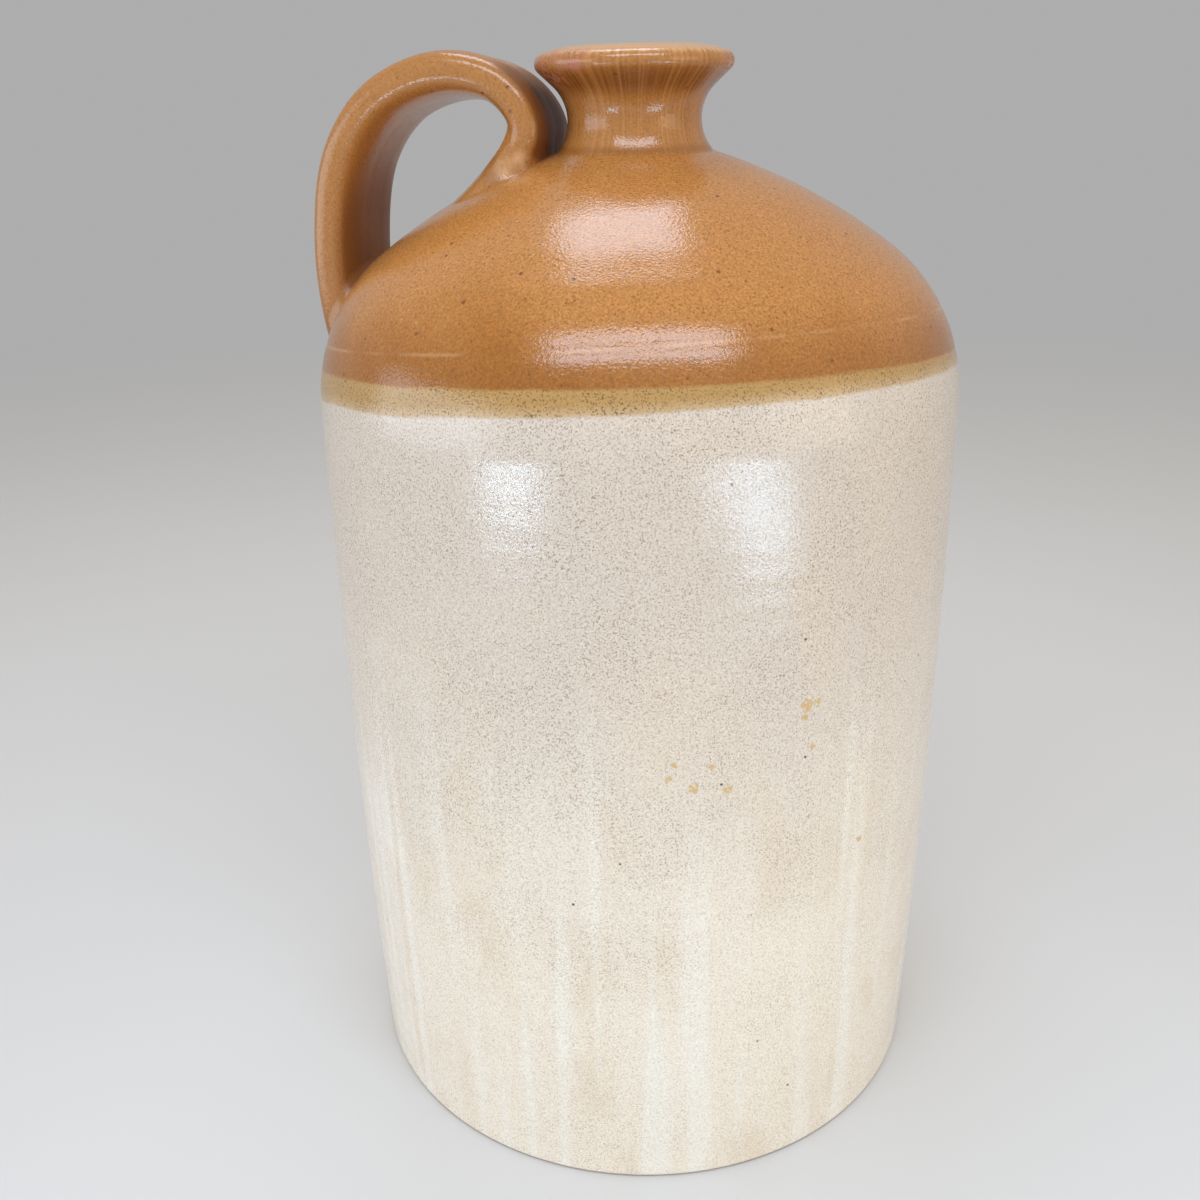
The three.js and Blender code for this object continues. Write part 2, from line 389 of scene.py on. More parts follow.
def make_neck():
    foot_centre = (THROAT_RADIUS + NECK_FOOT_BEND, throat)
    flare_centre = (THROAT_RADIUS + FLARE_BEND, throat)
    mouth_bottom = crest - MOUTH_ROUND
    mouth_radius = bore_radius(mouth_bottom)
    crest_start = (lip_centre[0] + CREST_RADIUS) / 2
    bore_end = BORE_RADIUS + BORE_EASE, seat + BORE_END_RISE
    profile = joined(
        line((BORE_RADIUS, seat), (NECK_FOOT_RADIUS, seat), 3),
        arc(foot_centre, NECK_FOOT_BEND, math.pi + foot_sweep, math.pi, 24),
        arc(flare_centre, FLARE_BEND, math.pi, math.pi - FLARE_SWEEP, 28),
        line(flare_end, (lip_bottom_radius, lip_bottom), 8),
        arc(lip_centre, LIP_ROUND, -FLARE_SWEEP, math.pi / 2, 24),
        quadratic((lip_centre[0], lip_top), (crest_start, crest), (CREST_RADIUS, crest), 16),
        quadratic((CREST_RADIUS, crest), (mouth_radius, crest), (mouth_radius, mouth_bottom), 12),
        line((mouth_radius, mouth_bottom), bore_end, 14),
    )
    return turned("stoneware_neck", profile, neck_shape)


def make_cork():
    top = crest - CORK_RECESS
    bottom = top - CORK_LENGTH

    def side(height):
        return bore_radius(height) - CORK_GAP

    foot = side(bottom) - CORK_CHAMFER, bottom
    low = side(bottom + CORK_CHAMFER), bottom + CORK_CHAMFER
    high = side(top - MOUTH_ROUND), top - MOUTH_ROUND
    rim = high[0] - CORK_CHAMFER / 2, top
    profile = joined(
        np.array([(0, bottom)]),
        line((CORK_HUB, bottom), foot, 8),
        line(foot, low, 3),
        line(low, high, 36),
        line(high, rim, 5),
        line(rim, (CORK_HUB, top), 16),
        np.array([(0, top)]),
    )

    def pitted(radius, height, angle):
        place = radius * math.cos(angle), radius * math.sin(angle), height
        spot = [c / CORK_PIT_SIZE for c in place]
        pit = max(0.0, noise.noise(spot) - CORK_PIT_START)
        on_end = height > top - 0.01 or height < bottom + 0.01
        if on_end:
            down = -1 if height > bottom + 1 else 1
            return radius, height + down * CORK_END_PIT * pit
        return radius - CORK_SIDE_PIT * pit, height

    return turned("cork_stopper", profile, pitted)


# Strap handle


def catmull_rom(route, count):
    """Points at even spacing along the centripetal curve through a route, with its unit tangents."""
    route = np.array(route, float)
    before, after = 2 * route[0] - route[1], 2 * route[-1] - route[-2]
    ends = np.concatenate([[before], route, [after]])
    fine = []
    for p0, p1, p2, p3 in zip(ends, ends[1:], ends[2:], ends[3:]):
        steps = (p0, p1), (p1, p2), (p2, p3)
        d0, d1, d2 = (math.sqrt(np.linalg.norm(b - a)) for a, b in steps)
        t1 = ((p1 - p0) / d0 - (p2 - p0) / (d0 + d1) + (p2 - p1) / d1) * d1
        t2 = ((p2 - p1) / d1 - (p3 - p1) / (d1 + d2) + (p3 - p2) / d2) * d1
        t = np.linspace(0, 1, CURVE_STEPS, endpoint=False)[:, None]
        square = 3 * (p2 - p1) - 2 * t1 - t2
        cube = 2 * (p1 - p2) + t1 + t2
        fine.append(p1 + t1 * t + square * t ** 2 + cube * t ** 3)
    fine = np.concatenate([*fine, [route[-1]]])
    run = np.concatenate([[0], np.cumsum(np.linalg.norm(np.diff(fine, axis=0), axis=1))])
    even = np.linspace(0, run[-1], count)
    points = np.stack([np.interp(even, run, fine[:, i]) for i in range(fine.shape[1])], -1)
    tangents = np.gradient(points, axis=0)
    return points, tangents / np.linalg.norm(tangents, axis=1)[:, None]


def strap_route():
    inner = THROAT_RADIUS + HANDLE_NECK_GAP + HANDLE_TOP_THICKNESS / 2
    outer = RIM_RADIUS - HANDLE_INSET
    crown = seat + HANDLE_RISE
    top_root = inner + HANDLE_LEAN
    deep = top_root + HANDLE_ROOT_DEPTH
    wide, tall = outer - inner, crown - BODY_HEIGHT
    loop = [(inner + across * wide, crown - down * tall) for across, down in HANDLE_LOOP]
    return [
        (deep, dome_height(deep) - HANDLE_ROOT_DEPTH),
        (top_root, dome_height(top_root) - LUTE_GAP),
        *loop,
        (outer - HANDLE_ROOT_DEPTH, BODY_HEIGHT + LUTE_GAP),
    ]


def strap_section():
    """The squared oval as shares of half width and half thickness, at even steps round it."""
    angle = np.linspace(0, 2 * math.pi, SECTION_STEPS)
    across = np.sign(np.cos(angle)) * np.abs(np.cos(angle)) ** HANDLE_SECTION_POWER
    out = np.sign(np.sin(angle)) * np.abs(np.sin(angle)) ** HANDLE_SECTION_POWER
    step = np.hypot(np.diff(across * HANDLE_WIDTH), np.diff(out * HANDLE_TOP_THICKNESS))
    run = np.concatenate([[0], np.cumsum(step)])
    even = np.linspace(0, run[-1], STRAP_SIDES, endpoint=False)
    return np.interp(even, run, across), np.interp(even, run, out)


def off_shoulder(points):
    """Height above the shoulder's surface and the surface's normal, for points with x, y and z."""
    points = np.asarray(points, float)
    rho = np.hypot(points[..., 0], points[..., 1])
    flat = np.stack([rho, points[..., 2]], -1)
    turn = np.arctan2(flat[..., 1] - corner_centre[1], flat[..., 0] - corner_centre[0])
    dome = turn > CORNER_SWEEP
    centre = np.where(dome[..., None], dome_centre, corner_centre)
    radius = np.where(dome, DOME_RADIUS, CORNER_RADIUS)
    arm = flat - centre
    below = turn < 0
    arm = np.where(below[..., None], np.stack([rho - corner_centre[0], 0 * rho], -1), arm)
    length = np.linalg.norm(arm, axis=-1)
    arm = arm / length[..., None]
    round_axis = points[..., :2] / rho[..., None]
    normal = np.concatenate([round_axis * arm[..., :1], arm[..., 1:]], -1)
    return length - radius, normal


def onto_shoulder(points, lift):
    for _ in range(4):
        height, normal = off_shoulder(points)
        points = points + (lift - height)[..., None] * normal
    return points


def swelling(along, amount, place, spread):
    return amount * np.exp(-(((along - place) / spread) ** 2))


def strap_grid(count):
    """Strap surface before its ends are cut: rows along the centre line, columns round the section."""
    centre, tangent = catmull_rom(strap_route(), count)
    across, out = strap_section()
    along = np.linspace(0, 1, count)[:, None]
    thickness = HANDLE_TOP_THICKNESS + (HANDLE_FOOT_THICKNESS - HANDLE_TOP_THICKNESS) * along
    width = HANDLE_WIDTH + HANDLE_ROOT_SPREAD * np.abs(2 * along - 1) ** HANDLE_ROOT_POWER
    turn = np.linspace(0, 2 * math.pi, STRAP_SIDES, endpoint=False)[None, :]
    waver = 1.2 * np.sin(3 * along + turn)
    ridge = np.sin(STRAP_RIDGES * turn + waver) + 0.5 * np.sin(STRAP_FINE_RIDGES * turn + 4 * along)
    outer_face = np.clip(out, 0, 1)[None, :] ** 2
    inward = STRAP_RIDGE_DEPTH * (1.5 + ridge * (0.3 + 0.7 * outer_face)) / 3
    hollow = np.exp(-((across[None, :] / STRAP_HOLLOW_SPREAD) ** 2))
    inward = inward + STRAP_HOLLOW * outer_face * hollow
    side = across[None, :] * (width / 2 - inward)
    rise = out[None, :] * (thickness / 2 - inward) - np.clip(-out, 0, 1) * swelling(along, *STRAP_SWELL)
    lift = (1 - across) / 2 * swelling(along, *STRAP_LIFT)
    drop = (1 + across) / 2 * swelling(along, *STRAP_DROP)
    rise = rise + lift - drop
    normal = np.stack([-tangent[:, 1], tangent[:, 0]], -1)
    x = -(centre[:, :1] + rise * normal[:, :1])
    z = centre[:, 1:] + rise * normal[:, 1:]
    return np.stack([x, side, z], -1)


def first_below(height, level):
    """Row index, with its fraction, where each column first falls to a level."""
    rows = np.argmax(height <= level, axis=0)
    rows = np.where((height <= level).any(axis=0), rows, height.shape[0] - 1)
    before = np.maximum(rows - 1, 0)
    columns = np.arange(height.shape[1])
    a, b = height[before, columns], height[rows, columns]
    share = np.clip((a - level) / np.where(np.abs(a - b) < 1e-9, 1, a - b), 0, 1)
    return before + share


def take(grid, row):
    """Points of a grid at a fractional row in each column."""
    columns = np.arange(grid.shape[1])
    low = np.clip(np.floor(row).astype(int), 0, grid.shape[0] - 2)
    share = (row - low)[:, None]
    return grid[low, columns] * (1 - share) + grid[low + 1, columns] * share


def by_side(values, share):
    """A smooth value round a root, at its far side (-1), the strap's edges (0) and under the loop (1)."""
    far, edge, under = values
    return edge + (under - far) / 2 * share + ((under + far) / 2 - edge) * share ** 2


def root_rows(half, height, loop_side, heights, reaches):
    """Rows of smeared clay from a strap's half down onto the shoulder, and the row where they start.

    loop_side is 1 where the loop lies towards +X of the root and -1 where it lies towards -X.
    """
    foot = onto_shoulder(take(half, first_below(height, 0.0)), 0.0)
    _, normal = off_shoulder(foot)
    out = np.cross(normal, np.roll(foot, -1, axis=0) - np.roll(foot, 1, axis=0))
    out *= np.sign((out * (foot - foot.mean(axis=0))).sum())
    out /= np.linalg.norm(out, axis=1)[:, None]
    share = loop_side * out[:, 0]
    out[:, 0] += loop_side * ROOT_DRAG * np.clip(1 - share ** 2, 0, 1)
    out -= (out * normal).sum(-1, keepdims=True) * normal
    out /= np.linalg.norm(out, axis=1)[:, None]
    rise, reach = by_side(heights, share)[:, None], by_side(reaches, share)[:, None]
    start = first_below(height, rise[:, 0])
    top = take(half, start)
    down = take(half, np.minimum(start + 2, len(half) - 1)) - top
    down /= np.linalg.norm(down, axis=1)[:, None]
    end = onto_shoulder(foot + reach * out, -ROOT_SINK)
    curve = top, top + ROOT_TOP_PULL * rise * down, end - ROOT_END_PULL * reach * out, end
    rows = []
    for t in np.linspace(0, 1, ROOT_ROWS + 1):
        weights = (1 - t) ** 3, 3 * t * (1 - t) ** 2, 3 * t ** 2 * (1 - t), t ** 3
        rows.append(sum(w * p for w, p in zip(weights, curve)))
    rows.append(onto_shoulder(foot + (reach + ROOT_HEM) * out, -2 * ROOT_SINK))
    return rows, start


def make_handle():
    grid = strap_grid(STRAP_FINE_ROWS)
    height, _ = off_shoulder(grid)
    middle = STRAP_FINE_ROWS // 2
    head, head_height = grid[middle::-1], height[middle::-1]
    tail, tail_height = grid[middle:], height[middle:]
    head_rows, head_start = root_rows(head, head_height, -1, TOP_ROOT_HEIGHT, TOP_ROOT_REACH)
    tail_rows, tail_start = root_rows(tail, tail_height, 1, LOW_ROOT_HEIGHT, LOW_ROOT_REACH)
    first, last = middle - head_start, middle + tail_start
    rows = list(reversed(head_rows[1:]))
    for share in np.linspace(0, 1, STRAP_ROWS + 1):
        rows.append(take(grid, first + (last - first) * share))
    rows.extend(tail_rows[1:])
    rows = np.array(rows)
    sides = rows.shape[1]
    points = np.concatenate([rows.reshape(-1, 3), [rows[0].mean(axis=0)], [rows[-1].mean(axis=0)]])
    faces = []
    for i in range(len(rows) - 1):
        for j in range(sides):
            k = (j + 1) % sides
            faces.append((i * sides + j, i * sides + k, (i + 1) * sides + k, (i + 1) * sides + j))
    start, end, final = len(points) - 2, len(points) - 1, (len(rows) - 1) * sides
    for j in range(sides):
        k = (j + 1) % sides
        faces.append((start, k, j))
        faces.append((end, final + j, final + k))
    return mesh_object("strap_handle", points, faces, STRAP_SHARP)


body = make_body()
shoulder = make_shoulder()
neck = make_neck()
handle = make_handle()
cork = make_cork()


# Camera


def turn_about_axis(v):
    c, s = math.cos(CAMERA_TURN), math.sin(CAMERA_TURN)
    return Vector((c * v[0] - s * v[1], s * v[0] + c * v[1], v[2]))


def make_camera():
    cp, sp = math.cos(CAMERA_PITCH), math.sin(CAMERA_PITCH)
    cy, sy = math.cos(CAMERA_YAW), math.sin(CAMERA_YAW)
    ahead = Vector((sy * cp, cy * cp, -sp))
    right = Vector((cy, -sy, 0))
    up = right.cross(ahead)
    cr, sr = math.cos(CAMERA_ROLL), math.sin(CAMERA_ROLL)
    right, up = cr * right + sr * up, cr * up - sr * right
    axes = [turn_about_axis(v) for v in (right, up, -ahead)]
    place = turn_about_axis((0, -CAMERA_REACH, CAMERA_HEIGHT)) * MM
    data = bpy.data.cameras.new("camera")
    data.sensor_width = SENSOR
    data.lens = SENSOR
    data.clip_start = 0.01
    made = bpy.data.objects.new("camera", data)
    matrix = Matrix(axes).transposed().to_4x4()
    matrix.translation = place
    made.matrix_world = matrix
    bpy.context.scene.collection.objects.link(made)
    bpy.context.scene.camera = made


make_camera()

for piece, node, slot, rides in (
    (body, "body", "cream_glaze", "vessel"),
    (shoulder, "shoulder", "tan_glaze", "vessel"),
    (neck, "neck", "tan_glaze", "vessel"),
    (handle, "handle", "tan_glaze", "vessel"),
    (cork, "cork_bung", "cork", "bung"),
):
    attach(piece, rides)
    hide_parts(node)

# Materials


def colour(red, green, blue):
    """An sRGB colour of 0 to 255 as the linear colour that sockets take."""
    shares = [c / 255 for c in (red, green, blue)]
    linear = [c / 12.92 if c <= 0.04045 else ((c + 0.055) / 1.055) ** 2.4 for c in shares]
    return (*linear, 1.0)


SPOT_CORE = 0.45  # share of a spot's radius that has its full colour
SPOT_SOFT = 0.02


class Shader:
    """Short names for the nodes of one material. Places are object coordinates, in metres."""

    def __init__(self, name):
        self.material = bpy.data.materials.new(name)
        self.material.use_nodes = True
        self.tree = self.material.node_tree
        self.tree.nodes.clear()
        self.surface = self.node("ShaderNodeBsdfPrincipled")
        output = self.node("ShaderNodeOutputMaterial")
        self.tree.links.new(self.surface.outputs["BSDF"], output.inputs["Surface"])
        self.place = self.node("ShaderNodeTexCoord").outputs["Object"]
        split = self.node("ShaderNodeSeparateXYZ")
        self.tree.links.new(self.place, split.inputs[0])
        self.x, self.y, self.z = split.outputs

    def node(self, kind, **settings):
        made = self.tree.nodes.new(kind)
        for key, value in settings.items():
            setattr(made, key, value)
        return made

    def feed(self, socket, value):
        if isinstance(value, bpy.types.NodeSocket):
            self.tree.links.new(value, socket)
        elif socket.type == "VECTOR":
            socket.default_value = value[:3]
        else:
            socket.default_value = value

    def math(self, operation, a, b=0.0):
        made = self.node("ShaderNodeMath", operation=operation)
        self.feed(made.inputs[0], a)
        self.feed(made.inputs[1], b)
        return made.outputs[0]

    def add(self, a, b):
        return self.math("ADD", a, b)

    def less(self, a, b):
        return self.math("SUBTRACT", a, b)

    def times(self, a, b):
        return self.math("MULTIPLY", a, b)

    def most(self, a, b):
        return self.math("MAXIMUM", a, b)

    def smooth(self, value, low, high):
        """0 at low and 1 at high, eased between. low may be the greater."""
        made = self.node("ShaderNodeMapRange", interpolation_type="SMOOTHSTEP")
        ends = (low, high, 0.0, 1.0) if low < high else (high, low, 1.0, 0.0)
        self.feed(made.inputs["Value"], value)
        for name, end in zip(("From Min", "From Max", "To Min", "To Max"), ends):
            made.inputs[name].default_value = end
        return made.outputs["Result"]

    def between(self, value, low, high, soft):
        """1 from low to high and 0 outside, with soft edges."""
        start = self.smooth(value, low - soft, low + soft)
        return self.times(start, self.smooth(value, high + soft, high - soft))

    def span(self, value, low, high):
        """A number that goes from low at 0 to high at 1."""
        return self.add(self.times(value, high - low), low)

    def sway(self, pattern, reach):
        """A pattern as a shift to both sides, of half the reach at most."""
        return self.times(self.less(pattern, 0.5), reach)

    def mix(self, factor, a, b):
        made = self.node("ShaderNodeMix", data_type="RGBA")
        self.feed(made.inputs["Factor"], factor)
        self.feed(made.inputs[6], a)
        self.feed(made.inputs[7], b)
        return made.outputs[2]

    def over(self, tint, other, mask, share):
        """A colour laid over another where the mask says, at a share of its strength."""
        return self.mix(self.times(mask, share), tint, other)

    def shade(self, tint, value, low, high):
        """A colour made darker or lighter, from low times it at 0 to high times it at 1."""
        made = self.node("ShaderNodeVectorMath", operation="SCALE")
        self.feed(made.inputs[0], tint)
        self.feed(made.inputs["Scale"], self.span(value, low, high))
        return made.outputs[0]

    def stretched(self, x, y, z):
        made = self.node("ShaderNodeVectorMath", operation="MULTIPLY")
        self.feed(made.inputs[0], self.place)
        made.inputs[1].default_value = (x, y, z)
        return made.outputs[0]

    def round_axis(self, radius):
        """Places moved in or out onto a tube of a radius in millimetres, for marks that run up and down."""
        unit = self.node("ShaderNodeVectorMath", operation="NORMALIZE")
        self.feed(unit.inputs[0], self.stretched(1, 1, 0))
        made = self.node("ShaderNodeVectorMath", operation="SCALE")
        self.feed(made.inputs[0], unit.outputs[0])
        made.inputs["Scale"].default_value = radius * MM
        return made.outputs[0]

    def noise(self, grain, detail=2.0, where=None, roughness=0.5):
        """Soft noise with features of about grain millimetres."""
        made = self.node("ShaderNodeTexNoise")
        self.feed(made.inputs["Vector"], self.place if where is None else where)
        made.inputs["Scale"].default_value = 1 / (grain * MM)
        made.inputs["Detail"].default_value = detail
        made.inputs["Roughness"].default_value = roughness
        return made.outputs[0]

    def specks(self, spacing, size, share):
        """Scattered spots: spacing and radius in millimetres, and the share of places that have one."""
        made = self.node("ShaderNodeTexVoronoi")
        self.feed(made.inputs["Vector"], self.place)
        made.inputs["Scale"].default_value = 1 / (spacing * MM)
        split = self.node("ShaderNodeSeparateColor")
        self.feed(split.inputs[0], made.outputs["Color"])
        reach = size / spacing
        spot = self.smooth(made.outputs["Distance"], reach, reach * SPOT_CORE)
        kept = self.smooth(split.outputs[0], share + SPOT_SOFT, share - SPOT_SOFT)
        return self.times(spot, kept)

    def above(self, plane):
        """Height over a tilted plane, in metres."""
        level = self.add(self.times(self.x, plane[1]), self.times(self.y, plane[2]))
        return self.less(self.less(self.z, level), plane[0] * MM)

    def near(self, spot, reach, soft):
        """1 round a spot given in millimetres, falling to 0 at reach."""
        made = self.node("ShaderNodeVectorMath", operation="DISTANCE")
        self.feed(made.inputs[0], self.place)
        made.inputs[1].default_value = [c * MM for c in spot]
        return self.smooth(made.outputs["Value"], reach * MM, (reach - soft) * MM)

    def bump(self, height, strength, distance):
        made = self.node("ShaderNodeBump")
        made.inputs["Strength"].default_value = strength
        made.inputs["Distance"].default_value = distance * MM
        self.feed(made.inputs["Height"], height)
        self.feed(self.surface.inputs["Normal"], made.outputs[0])


CREAM_HIGH = colour(222, 207, 191)
CREAM_LOW = colour(248, 236, 218)
CREAM_RUN = colour(251, 245, 233)
CREAM_WARM = colour(234, 213, 186)
GRAIN_BROWN = colour(150, 123, 97)
GRAIN_OCHRE = colour(176, 142, 98)
SPECK_BROWN = colour(132, 102, 80)
PIT_BLACK = colour(52, 38, 30)
STAIN = colour(212, 172, 104)
BAND = colour(188, 147, 88)
BAND_SPECK = colour(108, 80, 46)
TAN = colour(174, 110, 45)
TAN_LIGHT = colour(193, 131, 69)
TAN_DARK = colour(146, 88, 30)
# the darkest tan: painted shade on the strap, and the darker band under the lip
TAN_DEEP = colour(120, 68, 22)
TAN_SPECK = colour(98, 58, 26)
TAN_PALE = colour(222, 172, 124)
BISCUIT = colour(205, 180, 148)
BLUSH = colour(186, 116, 92)
CORK_DARK = colour(150, 108, 66)
CORK_LIGHT = colour(198, 156, 108)
CORK_PIT = colour(82, 54, 32)

# Ochre stains on the cream glaze: place and radius
STAINS = (
    (72.2, -86.9, 186.1, 2.3),
    (75.0, -84.5, 186.2, 1.3),
    (71.4, -87.6, 182.3, 1.2),
    (74.2, -85.3, 171.1, 1.0),
    (34.2, -107.8, 172.0, 1.0),
    (32.5, -108.3, 167.2, 1.3),
    (40.1, -105.7, 163.4, 1.8),
    (45.0, -103.7, 170.4, 1.0),
    (50.0, -101.4, 162.0, 1.5),
    (90.3, -67.9, 127.9, 1.3),
)

# Heights in metres over which the cream turns paler towards the bottom, a painted floor light, its grain
# thins and its runs begin, and how they sway
CREAM_ZONE = (0.235, 0.06)
THIN_ZONE = (0.20, 0.05)
RUN_ZONE = (0.20, 0.09)
ZONE_SWAY = 0.08
RUN_SWAY = 0.2

# Heights in metres over which the tan turns lighter, and its dark edge and mottling
TAN_LIGHT_ZONE = (0.285, 0.33)
TAN_EDGE = 22 * MM
TAN_MOTTLE = 0.68
RING_HALF = 0.4 * MM
RING_SOFT = 0.5 * MM

# Edges of the dips: slow sway, fine ripple and softness, and the upper edge's share of the first two
DIP_SWAY = 2.2 * MM
DIP_RIPPLE = 0.7 * MM
DIP_SOFT = 0.7 * MM
HIGH_SWAY = 0.8
HIGH_RIPPLE = 0.7
BAND_FADE = 4 * MM

# Gloss: range of roughness, what dull places add to it, and the dimpled surface
GLAZE_ROUGH = (0.08, 0.22)
DULL_ROUGH = 0.45
GLAZE_IOR = 1.58
PEEL_STRENGTH = 0.5
PEEL_DEPTH = 0.16
BARE_FOOT = (0.8 * MM, 0.2 * MM)


def dots(s, grain, low, high):
    """Fine grain: the peaks of a small noise."""
    return s.smooth(s.noise(grain, 1), low, high)


def cream_colour(s):
    level = s.add(s.z, s.sway(s.noise(60, 3), ZONE_SWAY))
    thin = s.smooth(level, *THIN_ZONE)
    start = s.sway(s.noise(12, 2, s.round_axis(BELLY_RADIUS)), RUN_SWAY)
    run_zone = s.smooth(s.add(level, start), *RUN_ZONE)
    # paler towards the bottom: painted light, as bounced up from the floor
    tint = s.mix(s.smooth(level, *CREAM_ZONE), CREAM_HIGH, CREAM_LOW)
    blotch = s.smooth(s.noise(24, 3, s.stretched(1, 1, 0.5)), 0.46, 0.7)
    tint = s.mix(s.times(blotch, s.span(run_zone, 0.2, 0.55)), tint, CREAM_WARM)
    run = s.smooth(s.noise(10, 1, s.stretched(1, 1, 0.04)), 0.48, 0.68)
    tint = s.over(tint, CREAM_RUN, s.times(run, run_zone), 0.7)
    dense = s.span(s.smooth(s.noise(30, 3), 0.35, 0.65), 0.7, 1.0)
    dense = s.times(dense, s.less(1.0, s.times(s.add(run, 1.0), s.times(thin, 0.25))))
    tint = s.shade(tint, s.noise(0.7, 2, roughness=0.6), 0.73, 1.24)
    grain = s.mix(thin, GRAIN_BROWN, GRAIN_OCHRE)
    tint = s.over(tint, grain, s.times(dots(s, 0.5, 0.48, 0.74), dense), 0.85)
    tint = s.over(tint, SPECK_BROWN, s.times(s.specks(3.2, 0.5, 0.3), dense), 0.5)
    tint = s.over(tint, PIT_BLACK, s.specks(14, 0.65, 0.5), 0.95)
    spots = [s.near((x, y, z), reach * 2, reach * 2) for x, y, z, reach in STAINS]
    ragged = s.less(s.times(s.noise(1.2, 3), 4.0), 1.2)
    stained = s.smooth(s.times(reduce(s.most, spots), ragged), 0.2, 0.7)
    return s.over(tint, STAIN, stained, 0.8)


def band_colour(s, above_low):
    tint = s.shade(BAND, s.noise(0.9, 3, roughness=0.7), 0.84, 1.16)
    tint = s.over(tint, CREAM_WARM, s.smooth(above_low, BAND_FADE, 0.0), 0.3)
    patchy = s.span(s.smooth(s.noise(9, 2), 0.35, 0.65), 0.5, 1.0)
    tint = s.over(tint, BAND_SPECK, s.times(dots(s, 0.6, 0.48, 0.72), patchy), 0.85)
    return s.over(tint, BAND_SPECK, s.specks(4.5, 0.65, 0.35), 0.55)


def tan_colour(s, above_high, grain, depth):
    high_up = s.times(s.smooth(s.z, *TAN_LIGHT_ZONE), 0.35)
    tint = s.mix(s.smooth(s.add(s.noise(45, 3), high_up), 0.35, 0.7), TAN, TAN_LIGHT)
    tint = s.over(tint, TAN_DARK, s.smooth(above_high, TAN_EDGE, 0.0), 0.55)
    mottle = s.noise(0.9, 3, roughness=0.75)
    uneven = TAN_MOTTLE * grain
    # depth darkens the tan as painted shade on the strap and the neck
    tint = s.shade(tint, mottle, depth * (1 - uneven), depth * (1 + uneven))
    tint = s.over(tint, TAN_DARK, dots(s, 0.7, 0.5, 0.74), 0.75 * grain)
    tint = s.over(tint, TAN_SPECK, s.specks(2.4, 0.5, 0.3), 0.55 * grain)
    tint = s.over(tint, TAN_SPECK, s.specks(8.0, 0.9, 0.6), 0.75)
    tint = s.over(tint, TAN_PALE, s.specks(6.0, 0.6, 0.3), 0.5)
    ring = s.between(s.above(RING_LINE), -RING_HALF, RING_HALF, RING_SOFT)
    broken_ring = s.times(ring, s.smooth(s.noise(20, 2), 0.4, 0.6))
    return s.over(tint, TAN_PALE, broken_ring, 0.35)


# Pink scars on the lip: angle, height and reach
LIP_SCARS = (
    (math.radians(-139), lip_bottom + 0.5, 13.0),
    (math.radians(-112), lip_top - 1.6, 7.0),
)

# Heights of the marks on the neck, and how soft their edges are
UNDER_LIP_BAND = ((lip_bottom - 6.5) * MM, (lip_bottom + 0.5) * MM, 3 * MM)
FOOT_RING = (seat * MM, (seat + 2.2) * MM, 1.4 * MM)
CHIP_LEVEL = ((CHIP_HEIGHT - 2.2) * MM, (CHIP_HEIGHT + 2) * MM, 0.6 * MM)
LIP_WORN = ((lip_top - 1.8) * MM, (lip_top - 0.1) * MM)
LIP_WORN_SWAY = 3 * MM


def lip_point(angle, height):
    return LIP_RADIUS * math.cos(angle), LIP_RADIUS * math.sin(angle), height


def neck_marks(s, tint):
    """The neck's colour with its own marks, and how dull it is there.

    The marks are streaks, a darker band under the lip, a ring at the foot, and the lip's rubbed edge,
    scars and chip.
    """
    streak = s.noise(0.9, 3, s.round_axis(THROAT_RADIUS))
    tint = s.shade(tint, streak, 0.7, 1.25)
    tint = s.over(tint, TAN_PALE, s.smooth(streak, 0.5, 0.7), 0.12)
    # a darker band under the lip
    under_lip = s.between(s.z, *UNDER_LIP_BAND)
    under_lip = s.times(under_lip, s.span(s.smooth(streak, 0.7, 0.4), 0.4, 0.85))
    tint = s.mix(under_lip, tint, TAN_DEEP)
    tint = s.over(tint, TAN_DARK, s.between(s.z, *FOOT_RING), 0.6)
    edge = s.add(s.z, s.sway(streak, LIP_WORN_SWAY))
    tint = s.over(tint, TAN_PALE, s.smooth(edge, *LIP_WORN), 0.7)
    for angle, height, reach in LIP_SCARS:
        spot = lip_point(angle, height)
        scar = s.times(s.near(spot, reach, reach * 0.6), s.smooth(s.noise(2.4, 3), 0.42, 0.58))
        tint = s.over(tint, BLUSH, scar, 0.75)
        grit = s.times(s.near(spot, reach * 0.55, reach * 0.4), dots(s, 0.9, 0.5, 0.65))
        tint = s.over(tint, TAN_SPECK, grit, 0.7)
    chip_spot = s.near(lip_point(CHIP_ANGLE, CHIP_HEIGHT), CHIP_WIDE, CHIP_WIDE * 0.7)
    ragged = s.add(chip_spot, s.times(s.noise(1.1, 3), 0.5))
    chip = s.times(s.smooth(ragged, 0.75, 1.0), s.between(s.z, *CHIP_LEVEL))
    broken = s.mix(s.smooth(s.noise(0.9, 3), 0.42, 0.6), BLUSH, BISCUIT)
    return s.over(tint, broken, chip, 0.85), chip


# Ellipse that the strap's underside follows, seen from the side: its middle and half sizes in x and z
LOOP_MIDDLE = (-66.0, 305.0)
LOOP_HALF = (34.0, 46.0)
# Distances from the strap's middle where its pale crest starts, partly wear and partly painted highlight,
# and where its flat faces end
STRAP_CREST = (22.1 * MM, 23.1 * MM)
STRAP_FACE = (22.2 * MM, 19.6 * MM)
# Where the strap comes close to the neck, along x, with shade painted on it
GAP_REACH = (-46 * MM, -36 * MM)
# Worn clay at the front of the strap's upper root: place and reach
ROOT_WORN = (
    (-38.0, -25.0, 339.2, 6.0),
    (-33.0, -24.5, 341.6, 5.0),
)


